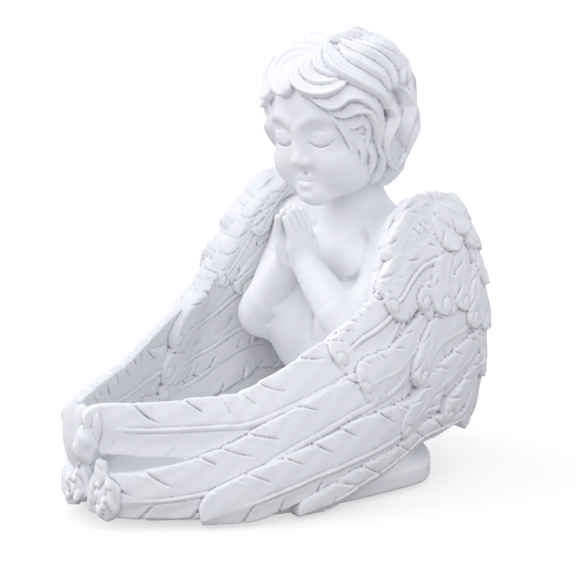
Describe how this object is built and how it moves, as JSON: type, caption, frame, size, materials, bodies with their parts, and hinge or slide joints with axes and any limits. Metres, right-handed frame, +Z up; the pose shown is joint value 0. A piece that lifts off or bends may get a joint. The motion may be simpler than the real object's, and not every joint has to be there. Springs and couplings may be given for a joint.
{
  "type": "angel figurine",
  "caption": "White cast resin cherub with joined hands, whose feathered wings sweep forward and meet to form an open trinket dish.",
  "frame": {"origin": "on the table the pads stand on, in the mirror plane, midway between the wings' front tips and backs: the middle of the bounding box's bottom", "axes": "+Z up, the figure faces -Y, +X is the figure's left side"},
  "size_m": [0.1268, 0.1894, 0.1804],
  "materials": {
    "white_resin": "matte white cold-cast resin, faintly chalky",
    "dowel_steel": "plain steel wire",
    "pad_rubber": "pale soft rubber"
  },
  "bodies": {
    "root": {"plinth": "white_resin", "torso": "white_resin", "head": "white_resin", "praying_forearms": "white_resin", "left_wing": "white_resin", "right_wing": "white_resin", "neck_dowel": "dowel_steel", "left_elbow_pin": "dowel_steel", "right_elbow_pin": "dowel_steel", "left_wing_dowel_upper": "dowel_steel", "left_wing_dowel_lower": "dowel_steel", "right_wing_dowel_upper": "dowel_steel", "right_wing_dowel_lower": "dowel_steel", "torso_dowel_front": "dowel_steel", "torso_dowel_rear": "dowel_steel", "fill_plug": "pad_rubber", "pad_front_left": "pad_rubber", "pad_front_right": "pad_rubber", "pad_rear_left": "pad_rubber", "pad_rear_right": "pad_rubber"}
  },
  "joints": []
}
